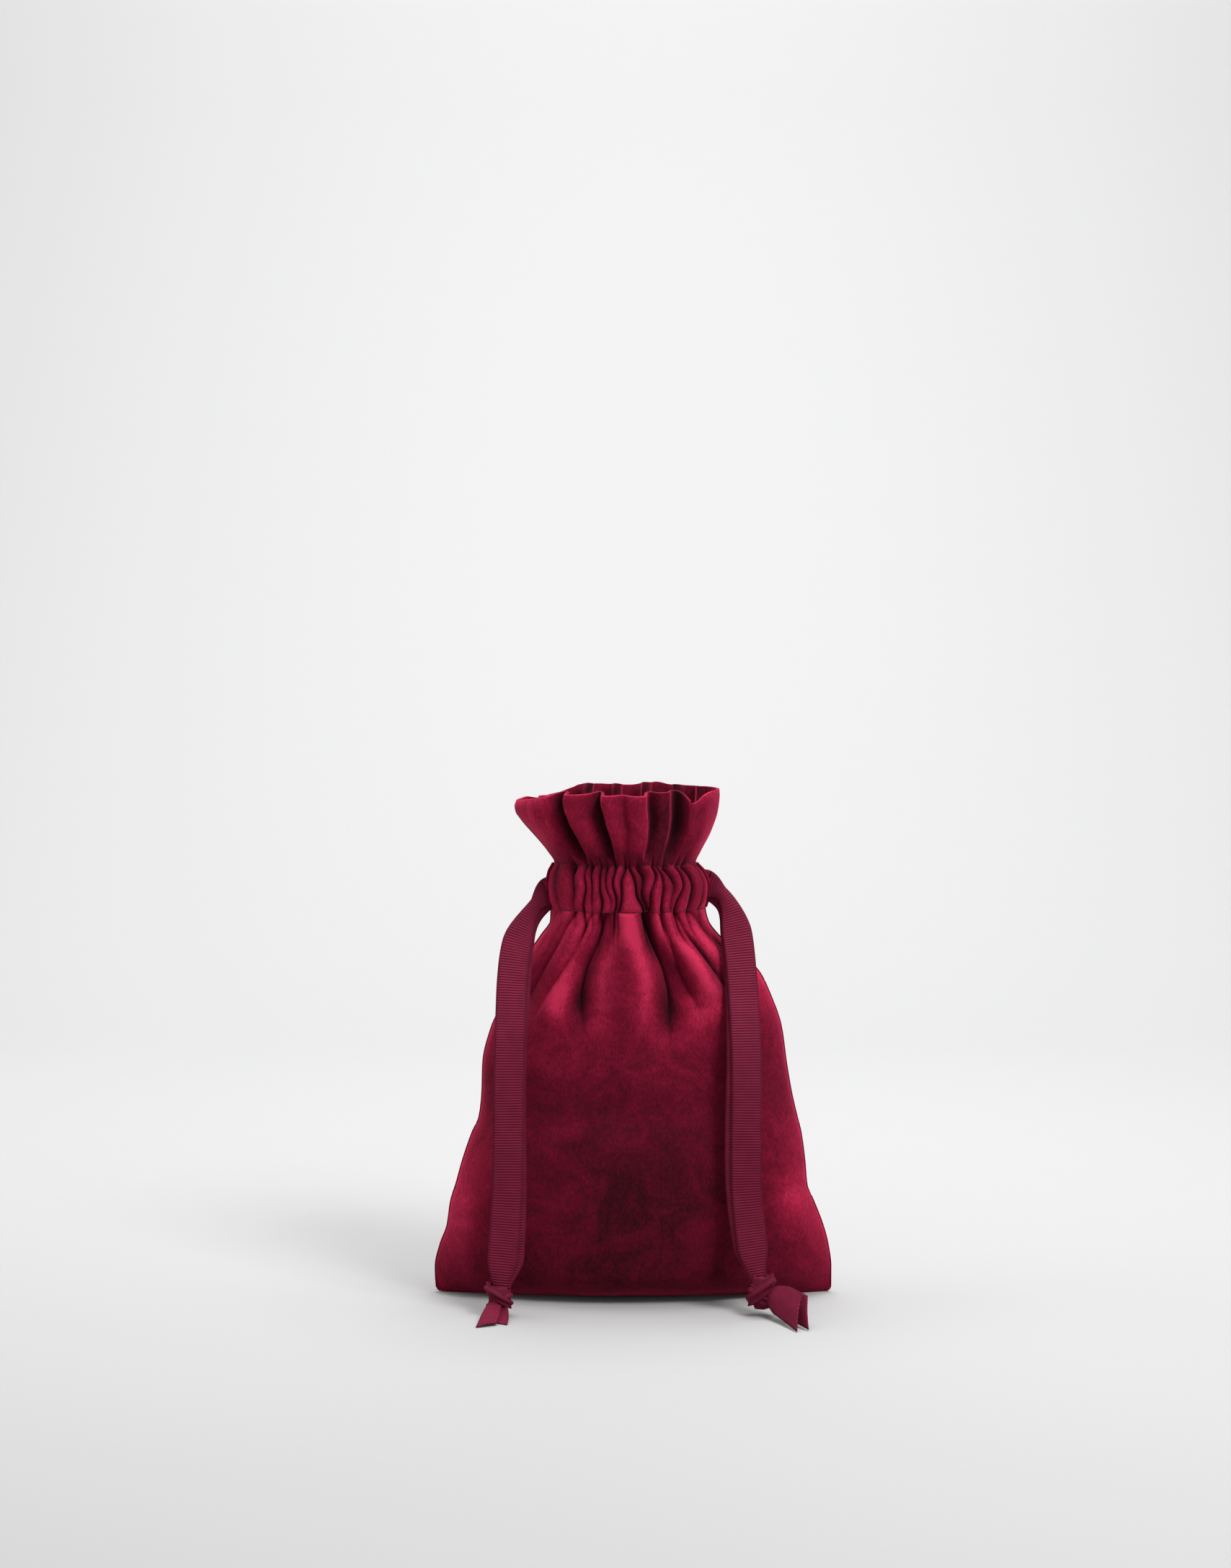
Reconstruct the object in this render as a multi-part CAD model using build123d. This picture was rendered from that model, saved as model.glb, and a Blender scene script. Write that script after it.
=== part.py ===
"""Fabric gift sack: a velvet drawstring pouch that stands filled, with a ribbon pair each side.

Millimetres, +Z up, front towards -Y. The origin is the middle of the face it rests on.

The pouch is two panels sewn together at the sides and the bottom. Above the panels a casing
with two rows of stitches runs round the neck, and a pleated ruffle stands above it. The casing
and ruffle are modelled as a front half and a back half, which come together when the neck is
drawn shut, and two side pieces, which hold the openings that the ribbons come out of.
"""
from build123d import *
import os
from math import radians, tan

# Driving dimensions ---------------------------------------------------------------------
CLOTH = 1.2
RUN_GAP = 0.3

# Neck: two stitch rows, with the casing between them and the ruffle above.
LOWER_ROW_Z = 196.5
UPPER_ROW_Z = 219.0
RIM_Z = 256.0
SPLIT_LEFT_X = -30.0
SPLIT_RIGHT_X = 22.0

# Level sections of the outside as (z, half width, half depth, centre x).
POUCH_SECTIONS = [
    (0, 97, 17, 0),
    (6, 99.5, 26, 0),
    (15, 100, 31, 0),
    (41, 93, 34, 0),
    (82, 83, 33, 1.5),
    (123, 76, 29, 1),
    (153, 66, 26, 2.5),
    (181, 47, 23.5, -0.5),
    (LOWER_ROW_Z, 37.4, 23, -2.7),
]
CASING_SECTIONS = [
    (LOWER_ROW_Z + RUN_GAP, 37.4, 23, -2.7),
    (208, 40.3, 25.6, -2.9),
    (UPPER_ROW_Z, 35.7, 22.5, -4.3),
]
RUFFLE_SECTIONS = [
    (UPPER_ROW_Z, 35.7, 22.5, -4.3),
    (235, 45, 25.5, -6.5),
    (248, 51.5, 27.5, -8.5),
    (RIM_Z, 51.5, 28, -8.5),
]

# The casing's inner cloth, and the ribbons between the two cloths.
LINING_HALF = (34.8, 20.6)
LINING_CLOTH = 1.0
RIBBON_RUN_HALF = (36.6, 22.0)
CASING_CENTRE_X = -3.2

# Ribbon: two strands a side, one from the front casing and one from the back.
RIBBON_WIDTH = 15.0
RIBBON_THICK = 0.8
STRAND_STEP = 1.2
RIBBON_Z = 207.5
OPENING_HALF_Y = 4.0
OPENING_MARGIN = 1.5

# Stitches and seams.
STITCH_HEIGHT = 0.9
STITCH_PROUD = 0.9
SEAM_PROUD = 1.2
SEAM_HALF_Y = 0.7
BOTTOM_SEAM_LENGTH = 176
BOTTOM_SEAM_HEIGHT = 6

# Each side's own places: the swing's centre, the front strand's route, its knot and tails.
# The routes are control points, with the corners rounded by arcs.
SIDES = {
    "left": {
        "sign": -1,
        "hinge": (-51.5, -4.0, 207.5),
        "route": [
            (-51.5, -4, 207.5),
            (-56, -9, 192),
            (-60, -20, 171.5),
            (-61.5, -29, 150),
            (-61.8, -35.5, 120),
            (-61.5, -38.5, 83),
            (-62.2, -40, 46),
            (-65.5, -45, 12.5),
        ],
        "knot_size": (13.4, 10, 10.5),
        "knot_centre": (-66, -46, 8.25),
        "front_tail": [(-68, -50, 9.4), (-70, -60, 5), (-72, -73, 2.2)],
        "back_tail": [(-63, -50, 5), (-62, -57, 2), (-60.5, -66, 0.9)],
        "layer_gap": 1.3,
    },
    "right": {
        "sign": 1,
        "hinge": (46.2, -4.0, 207.5),
        "route": [
            (46.2, -4, 207.5),
            (50, -9, 192),
            (53.5, -20, 171.5),
            (55, -29, 150),
            (55.3, -35.5, 120),
            (55, -38.5, 83),
            (56, -40, 50),
            (61.5, -45, 18),
        ],
        "knot_size": (12.6, 10, 16),
        "knot_centre": (62.7, -46, 11),
        "front_tail": [(64, -50, 10), (69, -62, 4.6), (77, -80, 2.2)],
        "back_tail": [(66, -50, 6), (72, -60, 2.4), (81, -75, 0.9)],
        "layer_gap": 1.3,
    },
}
TAIL_CUT_ANGLE = 35
KNOT_ROUND = 3.2
FAR = 400.0


# Helpers --------------------------------------------------------------------------------
def section(z, half_x, half_y, centre_x):
    """A level ellipse of the neck or pouch."""
    return Pos(centre_x, 0, z) * Ellipse(half_x, half_y)


def shell(sections, thickness, open_below=True):
    """A wall of even thickness that follows level sections."""
    outside = loft([section(*row) for row in sections])
    inner_rows = []
    for z, half_x, half_y, centre_x in sections:
        inner_rows.append((z, half_x - thickness, half_y - thickness, centre_x))
    if not open_below:
        z, half_x, half_y, centre_x = inner_rows[0]
        inner_rows[0] = (z + thickness, half_x + thickness, half_y + thickness, centre_x)
    inside = loft([section(*row) for row in inner_rows])
    return outside - inside


def ring(half, thickness, bottom, height, centre_x=CASING_CENTRE_X):
    """A straight-sided elliptical band."""
    outside = extrude(section(bottom, *half, centre_x), amount=height)
    bore = section(bottom - 1, half[0] - thickness, half[1] - thickness, centre_x)
    return outside - extrude(bore, amount=height + 2)


def half_space(low, high):
    """A box between two corners, to keep one region of a solid."""
    size = [high[i] - low[i] for i in range(3)]
    middle = [(high[i] + low[i]) / 2 for i in range(3)]
    return Pos(*middle) * Box(*size)


def largest(solid):
    """The main piece, without the slivers that a cut can leave."""
    return solid.solids().sort_by(SortBy.VOLUME)[-1]


def front_zone():
    """The neck's front half, between the two side pieces."""
    return half_space(
        (SPLIT_LEFT_X + RUN_GAP, -FAR, 0),
        (SPLIT_RIGHT_X - RUN_GAP, -RUN_GAP, FAR),
    )


def side_zone(sign):
    """Everything outside the front and back halves, on one side."""
    if sign < 0:
        return half_space((-FAR, -FAR, 0), (SPLIT_LEFT_X - RUN_GAP, FAR, FAR))
    return half_space((SPLIT_RIGHT_X + RUN_GAP, -FAR, 0), (FAR, FAR, FAR))


def corner_radii(points):
    """Each corner's arc: 0.45 of the shorter run, over the tangent of half the turn."""
    radii = []
    for before, corner, after in zip(points, points[1:], points[2:]):
        run_in = Vector(*corner) - Vector(*before)
        run_out = Vector(*after) - Vector(*corner)
        turn = run_in.get_angle(run_out)
        radii.append(0.45 * min(run_in.length, run_out.length) / tan(radians(turn) / 2))
    return radii


def ribbon_along(name, points, facing):
    """A flat ribbon swept along straight runs joined by tangent arcs, its flat side towards facing."""
    radii = corner_radii(points)
    path = FilletPolyline(*points, radius=radii)
    along = path % 0
    across = Vector(*facing).cross(along).normalized()
    start = Plane(origin=path @ 0, x_dir=across, z_dir=along)
    solid = sweep(start * Rectangle(RIBBON_WIDTH, RIBBON_THICK), path=path)
    plain_volume = RIBBON_WIDTH * RIBBON_THICK * path.length
    print(name, "length", round(path.length, 1), "radii", [round(r, 1) for r in radii],
          "volume ratio", round(solid.volume / plain_volume, 3))
    return solid


def shifted(points, shift_y):
    """The same route, further back or forward."""
    return [(x, y + shift_y, z) for x, y, z in points]


# Pouch ----------------------------------------------------------------------------------
def pouch_parts():
    """Front and back panel, side seams and bottom seam."""
    wall = shell(POUCH_SECTIONS, CLOTH, open_below=False)
    outside = loft([section(*row) for row in POUCH_SECTIONS])
    proud_rows = [(z, w + SEAM_PROUD, d, c) for z, w, d, c in POUCH_SECTIONS]
    ridge = loft([section(*row) for row in proud_rows]) - outside
    ridge = ridge & half_space((-FAR, -SEAM_HALF_Y, 1), (FAR, SEAM_HALF_Y, LOWER_ROW_Z - 1))
    bottom_seam = Pos(0, 0, CLOTH + BOTTOM_SEAM_HEIGHT / 2 + 0.01) * Box(
        BOTTOM_SEAM_LENGTH, 2 * SEAM_HALF_Y, BOTTOM_SEAM_HEIGHT
    )
    return {
        "front_panel": wall & half_space((-FAR, -FAR, -1), (FAR, 0, FAR)),
        "back_panel": wall & half_space((-FAR, 0, -1), (FAR, FAR, FAR)),
        "left_side_seam": ridge & half_space((-FAR, -FAR, -1), (0, FAR, FAR)),
        "right_side_seam": ridge & half_space((0, -FAR, -1), (FAR, FAR, FAR)),
        "bottom_seam": bottom_seam,
    }


# Neck -----------------------------------------------------------------------------------
def neck_shells():
    """Casing, its inner cloth, the ribbon's run, the ruffle and its facing, all the way round."""
    casing = shell(CASING_SECTIONS, CLOTH)
    ruffle = shell(RUFFLE_SECTIONS, CLOTH)
    facing_rows = [(z, w - CLOTH, d - CLOTH, c) for z, w, d, c in RUFFLE_SECTIONS]
    facing = shell(facing_rows, CLOTH)
    bottom = LOWER_ROW_Z + RUN_GAP
    lining = ring(LINING_HALF, LINING_CLOTH, bottom, UPPER_ROW_Z - bottom)
    run_bottom = RIBBON_Z - RIBBON_WIDTH / 2
    ribbon = ring(RIBBON_RUN_HALF, RIBBON_THICK, run_bottom, RIBBON_WIDTH)
    return casing, lining, ribbon, ruffle, facing


def stitch_row(z, half, centre_x, cloth):
    """A thin thread line that stands proud of the cloth along a stitched row."""
    proud = (half[0] + STITCH_PROUD, half[1] + STITCH_PROUD)
    row = ring(proud, 2 * STITCH_PROUD, z, STITCH_HEIGHT, centre_x)
    return row - cloth


def front_neck_parts(shells):
    """The moving front half of the neck, with its part of the ribbons' runs."""
    casing, lining, ribbon, ruffle, facing = shells
    zone = front_zone()
    lower_z, lower_x, lower_y, lower_c = CASING_SECTIONS[0]
    upper_z, upper_x, upper_y, upper_c = CASING_SECTIONS[-1]
    lower = stitch_row(lower_z + 0.3, (lower_x, lower_y), lower_c, casing)
    upper = stitch_row(upper_z - STITCH_HEIGHT - 0.3, (upper_x, upper_y), upper_c, casing)
    low_ribbon = half_space((-FAR, -FAR, 0), (FAR, FAR, RIBBON_Z))
    high_ribbon = half_space((-FAR, -FAR, RIBBON_Z), (FAR, FAR, FAR))
    return {
        "front_casing_outer": casing & zone,
        "front_casing_inner": lining & zone,
        "front_ruffle": ruffle & zone,
        "front_ruffle_facing": facing & zone,
        "front_lower_stitches": largest(lower & zone),
        "front_upper_stitches": largest(upper & zone),
        "left_ribbon_front_run": ribbon & zone & low_ribbon,
        "right_ribbon_front_run": ribbon & zone & high_ribbon,
    }


def neck_side(sign, shells):
    """A side of the neck that stays with the pouch, with the opening that the ribbon leaves by."""
    casing, _, _, ruffle, facing = shells
    zone = side_zone(sign)
    opening_half_z = RIBBON_WIDTH / 2 + OPENING_MARGIN
    opening = half_space(
        (-FAR, -OPENING_HALF_Y, RIBBON_Z - opening_half_z),
        (FAR, OPENING_HALF_Y, RIBBON_Z + opening_half_z),
    )
    joining_cloth = (casing & zone) - opening
    return joining_cloth, ruffle & zone, facing & zone


# Ribbons --------------------------------------------------------------------------------
def ribbon_exit(side):
    """The two strands side by side where they pass through the casing's opening."""
    sign = side["sign"]
    hinge_x = side["hinge"][0]
    inner_x = CASING_CENTRE_X + sign * (LINING_HALF[0] - 0.6)
    low_x, high_x = sorted((inner_x, hinge_x))
    strands = []
    for y in (-STRAND_STEP, STRAND_STEP):
        strands.append(half_space(
            (low_x, y - RIBBON_THICK / 2, RIBBON_Z - RIBBON_WIDTH / 2),
            (high_x, y + RIBBON_THICK / 2, RIBBON_Z + RIBBON_WIDTH / 2),
        ))
    return Compound(children=strands)


def hinge_disc(centre, shift_y):
    """The round end of a strand, flat in the plane that it swings in."""
    x, y, z = centre
    disc = Cylinder(RIBBON_WIDTH / 2, RIBBON_THICK)
    return Pos(x, y + shift_y, z) * Rot(90, 0, 0) * disc


def knot_solid(side):
    """The overhand knot as a plain rounded solid."""
    body = Box(*side["knot_size"])
    return Pos(*side["knot_centre"]) * fillet(body.edges(), KNOT_ROUND)


def tail(name, points, knot, cut_sign):
    """A short ribbon end that runs down to the floor, cut on the slant."""
    strip = ribbon_along(name, points, (0, 0, 1)) - knot
    tip = Vector(*points[-1])
    corner = Pos(tip.X, tip.Y, tip.Z) * Rot(0, 0, cut_sign * TAIL_CUT_ANGLE)
    cutter = corner * Pos(0, -RIBBON_WIDTH + 2, 0) * Box(4 * RIBBON_WIDTH, 2 * RIBBON_WIDTH, 20)
    return largest(strip - cutter)


def strand_parts(name, side):
    """Both hanging strands of one side, their knot and their two tails."""
    knot = knot_solid(side)
    front = ribbon_along(f"{name} front strand", side["route"], (0, 1, 0))
    front = front + hinge_disc(side["route"][0], 0)
    back_route = shifted(side["route"], side["layer_gap"])
    back = ribbon_along(f"{name} back strand", back_route, (0, 1, 0))
    back = back + hinge_disc(back_route[0], 0)
    return {
        f"{name}_front_strand": front - knot,
        f"{name}_back_strand": back - front - knot,
        f"{name}_knot": knot,
        f"{name}_front_tail": tail(f"{name} front tail", side["front_tail"], knot, -side["sign"]),
        f"{name}_back_tail": tail(f"{name} back tail", side["back_tail"], knot, side["sign"]),
    }


# Assembly -------------------------------------------------------------------------------
def build():
    parts = pouch_parts()
    shells = neck_shells()
    for name, solid in front_neck_parts(shells).items():
        parts[name] = solid
        parts[name.replace("front", "back")] = mirror(solid, Plane.XZ)
    for name, side in SIDES.items():
        joining_cloth, ruffle, facing = neck_side(side["sign"], shells)
        parts[f"{name}_casing_side"] = joining_cloth
        parts[f"{name}_ruffle_side"] = ruffle
        parts[f"{name}_ruffle_facing"] = facing
        parts[f"{name}_ribbon_exit"] = ribbon_exit(side)
        parts.update(strand_parts(name, side))
    return parts


os.makedirs("parts", exist_ok=True)
for part_name, solid in build().items():
    export_step(solid, f"parts/{part_name}.step")
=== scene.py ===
import math

import bpy
import numpy as np
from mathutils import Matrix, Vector, noise


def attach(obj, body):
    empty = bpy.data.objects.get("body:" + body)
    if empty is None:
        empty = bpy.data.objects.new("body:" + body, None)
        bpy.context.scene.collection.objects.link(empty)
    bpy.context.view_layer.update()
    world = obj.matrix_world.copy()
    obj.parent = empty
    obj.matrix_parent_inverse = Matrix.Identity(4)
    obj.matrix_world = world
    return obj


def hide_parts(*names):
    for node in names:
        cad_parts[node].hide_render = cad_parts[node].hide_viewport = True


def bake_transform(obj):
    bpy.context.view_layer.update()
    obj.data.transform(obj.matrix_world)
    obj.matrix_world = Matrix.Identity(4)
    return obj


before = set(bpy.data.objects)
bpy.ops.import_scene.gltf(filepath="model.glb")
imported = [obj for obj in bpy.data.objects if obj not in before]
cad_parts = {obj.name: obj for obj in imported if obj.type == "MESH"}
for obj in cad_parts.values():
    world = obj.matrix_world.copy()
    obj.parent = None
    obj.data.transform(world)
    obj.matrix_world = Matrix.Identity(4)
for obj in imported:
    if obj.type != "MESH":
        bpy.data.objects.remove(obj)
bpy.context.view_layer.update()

MM = 0.001
LEFT, RIGHT = -1, 1
FRONT, BACK = -1, 1

# ---------------------------------------------------------------------------------------
# Camera, floor and light
# ---------------------------------------------------------------------------------------
CAMERA_PLACE = (-8.9, -1478, 390.3)
CAMERA_PITCH_DOWN = 5.1
CAMERA_LENS = 68.2
BACKDROP_COLOUR = (0.328, 0.328, 0.329, 1)
# The backdrop in metres: its depth behind the sack, its height, the radius of its bend and half its width.
SWEEP_DEPTH, SWEEP_HEIGHT, SWEEP_BEND, SWEEP_HALF = 1.6, 2.6, 0.9, 3.0
BEND_STEPS = 16
WORLD_STRENGTH = 0.55
# Each area light's name, place, target, size in metres and power in watts.
LIGHTS = [
    ("key", (0.75, -0.75, 1.35), (0, 0, 0.14), 0.55, 24),
    ("top", (0.1, 0.05, 1.5), (0, 0, 0.1), 0.8, 9),
    ("rim_left", (-1.3, 0.1, 0.7), (0, 0, 0.12), 0.9, 6),
    ("wall", (0, 0.5, 1.9), (0, 1.6, 0.9), 1.6, 68),
]


def make_camera():
    """A long lens a little above the sack, looking slightly down."""
    data = bpy.data.cameras.new("camera")
    data.lens = CAMERA_LENS
    data.sensor_width = 36
    data.clip_end = 20
    camera = bpy.data.objects.new("camera", data)
    camera.location = [c * MM for c in CAMERA_PLACE]
    camera.rotation_euler = (math.radians(90 - CAMERA_PITCH_DOWN), 0, 0)
    bpy.context.scene.collection.objects.link(camera)
    bpy.context.scene.camera = camera


def make_light(name, place, target, size, power):
    """A square area light that faces a point."""
    data = bpy.data.lights.new(name, "AREA")
    data.size = size
    data.energy = power
    light = bpy.data.objects.new(name, data)
    light.location = place
    aim = Vector(target) - Vector(place)
    light.rotation_euler = aim.to_track_quat("-Z", "Y").to_euler()
    bpy.context.scene.collection.objects.link(light)


def make_studio():
    """A pale sweep under soft light that comes mostly from the upper right."""
    bpy.context.scene.view_settings.view_transform = "Standard"
    mat = bpy.data.materials.new("backdrop")
    mat.use_nodes = True
    shader = mat.node_tree.nodes["Principled BSDF"]
    shader.inputs["Base Color"].default_value = BACKDROP_COLOUR
    shader.inputs["Roughness"].default_value = 0.9
    shader.inputs["Specular IOR Level"].default_value = 0.1

    profile = [(-SWEEP_HALF, 0.0), (SWEEP_DEPTH - SWEEP_BEND, 0.0)]
    for step in range(1, BEND_STEPS + 1):
        angle = math.pi / 2 * step / BEND_STEPS
        y = SWEEP_DEPTH - SWEEP_BEND + SWEEP_BEND * math.sin(angle)
        profile.append((y, SWEEP_BEND - SWEEP_BEND * math.cos(angle)))
    profile.append((SWEEP_DEPTH, SWEEP_HEIGHT))
    verts = [(x, y, z) for y, z in profile for x in (-SWEEP_HALF, SWEEP_HALF)]
    faces = [(2 * i, 2 * i + 1, 2 * i + 3, 2 * i + 2) for i in range(len(profile) - 1)]
    mesh = bpy.data.meshes.new("backdrop")
    mesh.from_pydata(verts, [], faces)
    mesh.polygons.foreach_set("use_smooth", [True] * len(faces))
    sweep = bpy.data.objects.new("backdrop", mesh)
    mesh.materials.append(mat)
    bpy.context.scene.collection.objects.link(sweep)

    world = bpy.data.worlds.new("studio")
    bpy.context.scene.world = world
    world.use_nodes = True
    background = world.node_tree.nodes["Background"]
    background.inputs["Color"].default_value = (1.0, 1.0, 1.0, 1)
    background.inputs["Strength"].default_value = WORLD_STRENGTH
    for light in LIGHTS:
        make_light(*light)


# ---------------------------------------------------------------------------------------
# Materials
# ---------------------------------------------------------------------------------------
NAP_SCALE = (900, 900, 520)
LEAN_CONTRAST = 0.74
NAP_CONTRAST = 0.52
RIB_PITCH = 1.3
RIBBED_HALF_WIDTH = 6.6


def new_material(name):
    """A node material and its Principled shader."""
    mat = bpy.data.materials.new(name)
    mat.use_nodes = True
    return mat, mat.node_tree.nodes["Principled BSDF"]


def add_node(mat, kind, **settings):
    """A node with some of its settings and inputs set by name."""
    node = mat.node_tree.nodes.new(kind)
    for key, value in settings.items():
        if hasattr(node, key):
            setattr(node, key, value)
        else:
            node.inputs[key.replace("_", " ").title()].default_value = value
    return node


def link(mat, source, target):
    """Joins an output to an input."""
    mat.node_tree.links.new(source, target)


def ramp(mat, source, stops):
    """A colour ramp over a value."""
    node = mat.node_tree.nodes.new("ShaderNodeValToRGB")
    elements = node.color_ramp.elements
    while len(elements) < len(stops):
        elements.new(0.5)
    for element, (place, colour) in zip(elements, stops):
        element.position = place
        element.color = (*colour, 1)
    link(mat, source, node.inputs["Fac"])
    return node


def combine(mat, operation, *values):
    """A math node of one or two values, each a socket or a number."""
    node = add_node(mat, "ShaderNodeMath", operation=operation)
    for socket, value in zip(node.inputs, values):
        if isinstance(value, (int, float)):
            socket.default_value = value
        else:
            link(mat, value, socket)
    return node.outputs[0]


def centred(mat, value, size):
    """A texture's value turned into a shift round zero, of some size."""
    return combine(mat, "MULTIPLY", combine(mat, "SUBTRACT", value, 0.5), size)


def add_bump(mat, shader, height, strength, distance):
    """Relief from a height value."""
    bump = mat.node_tree.nodes.new("ShaderNodeBump")
    bump.inputs["Strength"].default_value = strength
    bump.inputs["Distance"].default_value = distance
    link(mat, height, bump.inputs["Height"])
    link(mat, bump.outputs["Normal"], shader.inputs["Normal"])


def set_surface(shader, roughness, specular, sheen, sheen_tint):
    """The values that are the same all over a fabric."""
    shader.inputs["Roughness"].default_value = roughness
    shader.inputs["Specular IOR Level"].default_value = specular
    shader.inputs["Sheen Weight"].default_value = sheen
    shader.inputs["Sheen Tint"].default_value = sheen_tint


def velvet(name):
    """Velvet: soft patches where the pile leans, a fine nap, and painted light kept on the cloth's points:
    painted shade in the folds and painted highlights on ridges and lit areas.
    """
    mat, shader = new_material(name)
    coords = add_node(mat, "ShaderNodeTexCoord")
    lean = add_node(mat, "ShaderNodeTexNoise", scale=44.0, detail=8.0, roughness=0.74, distortion=1.1)
    link(mat, coords.outputs["Object"], lean.inputs["Vector"])
    nap_map = add_node(mat, "ShaderNodeMapping")
    nap_map.inputs["Scale"].default_value = NAP_SCALE
    link(mat, coords.outputs["Object"], nap_map.inputs["Vector"])
    nap = add_node(mat, "ShaderNodeTexNoise", scale=1.0, detail=3.0, roughness=0.7)
    link(mat, nap_map.outputs["Vector"], nap.inputs["Vector"])
    painted_light = add_node(mat, "ShaderNodeAttribute", attribute_name="painted_light")

    patches = centred(mat, lean.outputs["Fac"], LEAN_CONTRAST)
    grain = centred(mat, nap.outputs["Fac"], NAP_CONTRAST)
    # The lean patches and the nap are random unevenness of the pile; the point attribute adds the painted
    # shade and painted highlights.
    shade = combine(mat, "ADD", combine(mat, "ADD", patches, grain), painted_light.outputs["Fac"])
    # The ramp's darkest stops are the colour of painted crease shade and its lightest the colour of painted
    # highlights.
    colour = ramp(mat, combine(mat, "ADD", shade, 0.5), [
        (0.0, (0.006, 0.0001, 0.0014)),
        (0.25, (0.029, 0.0004, 0.0044)),
        (0.5, (0.098, 0.0012, 0.0118)),
        (0.75, (0.205, 0.0045, 0.0255)),
        (1.0, (0.37, 0.015, 0.053)),
    ])
    link(mat, colour.outputs["Color"], shader.inputs["Base Color"])

    add_bump(mat, shader, nap.outputs["Fac"], 0.45, 0.6 * MM)
    set_surface(shader, 0.9, 0.1, 0.55, (1.0, 0.05, 0.17, 1))
    shader.inputs["Sheen Roughness"].default_value = 0.4
    return mat


def grosgrain():
    """Ribbed ribbon: cross ribs that follow the strip, flat at the two selvedges, with painted shade between
    the ribs and painted light on their crests.
    """
    mat, shader = new_material("ribbon")
    uv = add_node(mat, "ShaderNodeUVMap", uv_map="UVMap")
    parts = add_node(mat, "ShaderNodeSeparateXYZ")
    link(mat, uv.outputs["UV"], parts.inputs["Vector"])
    turns = combine(mat, "MULTIPLY", parts.outputs["X"], 2 * math.pi / (RIB_PITCH * MM))
    height = mat.node_tree.nodes.new("ShaderNodeMapRange")
    height.inputs["From Min"].default_value = -1
    link(mat, combine(mat, "SINE", turns), height.inputs["Value"])
    to_edge = combine(mat, "ABSOLUTE", parts.outputs["Y"])
    inside = combine(mat, "LESS_THAN", to_edge, RIBBED_HALF_WIDTH * MM)
    ribbed = combine(mat, "MULTIPLY", height.outputs["Result"], inside)

    coords = add_node(mat, "ShaderNodeTexCoord")
    uneven = add_node(mat, "ShaderNodeTexNoise", scale=160.0, detail=3.0)
    link(mat, coords.outputs["Object"], uneven.inputs["Vector"])
    mixed = mat.node_tree.nodes.new("ShaderNodeMix")
    mixed.data_type = "FLOAT"
    mixed.inputs[0].default_value = 0.45
    link(mat, ribbed, mixed.inputs[2])
    link(mat, uneven.outputs["Fac"], mixed.inputs[3])
    # The colour follows the ribs' height as the bump does: painted shade in the grooves and painted light on
    # the crests, and the flat selvedges take the grooves' darker colour. The noise adds random unevenness.
    colour = ramp(mat, mixed.outputs[0], [
        (0.15, (0.080, 0.0045, 0.0165)),
        (0.5, (0.122, 0.0070, 0.0250)),
        (0.85, (0.172, 0.0110, 0.0370)),
    ])
    link(mat, colour.outputs["Color"], shader.inputs["Base Color"])
    add_bump(mat, shader, ribbed, 0.7, 0.4 * MM)
    set_surface(shader, 0.62, 0.06, 0.04, (1.0, 0.2, 0.4, 1))
    return mat


def thread():
    """Matte sewing thread with a fine twist."""
    mat, shader = new_material("thread")
    coords = add_node(mat, "ShaderNodeTexCoord")
    twist = add_node(mat, "ShaderNodeTexWave", scale=900.0, distortion=2.0)
    link(mat, coords.outputs["Object"], twist.inputs["Vector"])
    colour = ramp(mat, twist.outputs["Fac"], [(0.2, (0.02, 0.0006, 0.003)), (0.8, (0.07, 0.002, 0.01))])
    link(mat, colour.outputs["Color"], shader.inputs["Base Color"])
    shader.inputs["Roughness"].default_value = 0.7
    return mat


# ---------------------------------------------------------------------------------------
# Meshes
# ---------------------------------------------------------------------------------------
def mesh_object(name, points, faces, material, uvs=None, smooth=True):
    """A mesh from millimetre points, with its material."""
    mesh = bpy.data.meshes.new(name)
    mesh.from_pydata([tuple(p * MM for p in point) for point in points], [], faces)
    mesh.validate()
    if smooth:
        mesh.polygons.foreach_set("use_smooth", [True] * len(mesh.polygons))
    if uvs is not None:
        layer = mesh.uv_layers.new(name="UVMap")
        for loop in mesh.loops:
            layer.data[loop.index].uv = uvs[loop.vertex_index]
    mesh.materials.append(material)
    obj = bpy.data.objects.new(name, mesh)
    bpy.context.scene.collection.objects.link(obj)
    return obj


def grid_faces(rows, columns, closed=False, flip=False):
    """Quads of a grid of points, row by row; closed joins the last column to the first."""
    faces = []
    for r in range(rows - 1):
        for c in range(columns if closed else columns - 1):
            n = (c + 1) % columns
            quad = (r * columns + c, r * columns + n, (r + 1) * columns + n, (r + 1) * columns + c)
            faces.append(quad[::-1] if flip else quad)
    return faces


def thicken(obj, thickness, offset):
    """Gives a sheet its real thickness, with closed rims."""
    modifier = obj.modifiers.new("thickness", "SOLIDIFY")
    modifier.thickness = thickness * MM
    modifier.offset = offset
    modifier.use_even_offset = False
    apply_modifiers(obj)


def apply_modifiers(obj):
    """Turns an object's modifiers into its plain mesh."""
    graph = bpy.context.evaluated_depsgraph_get()
    result = bpy.data.meshes.new_from_object(obj.evaluated_get(graph))
    obj.modifiers.clear()
    obj.data = result


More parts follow.
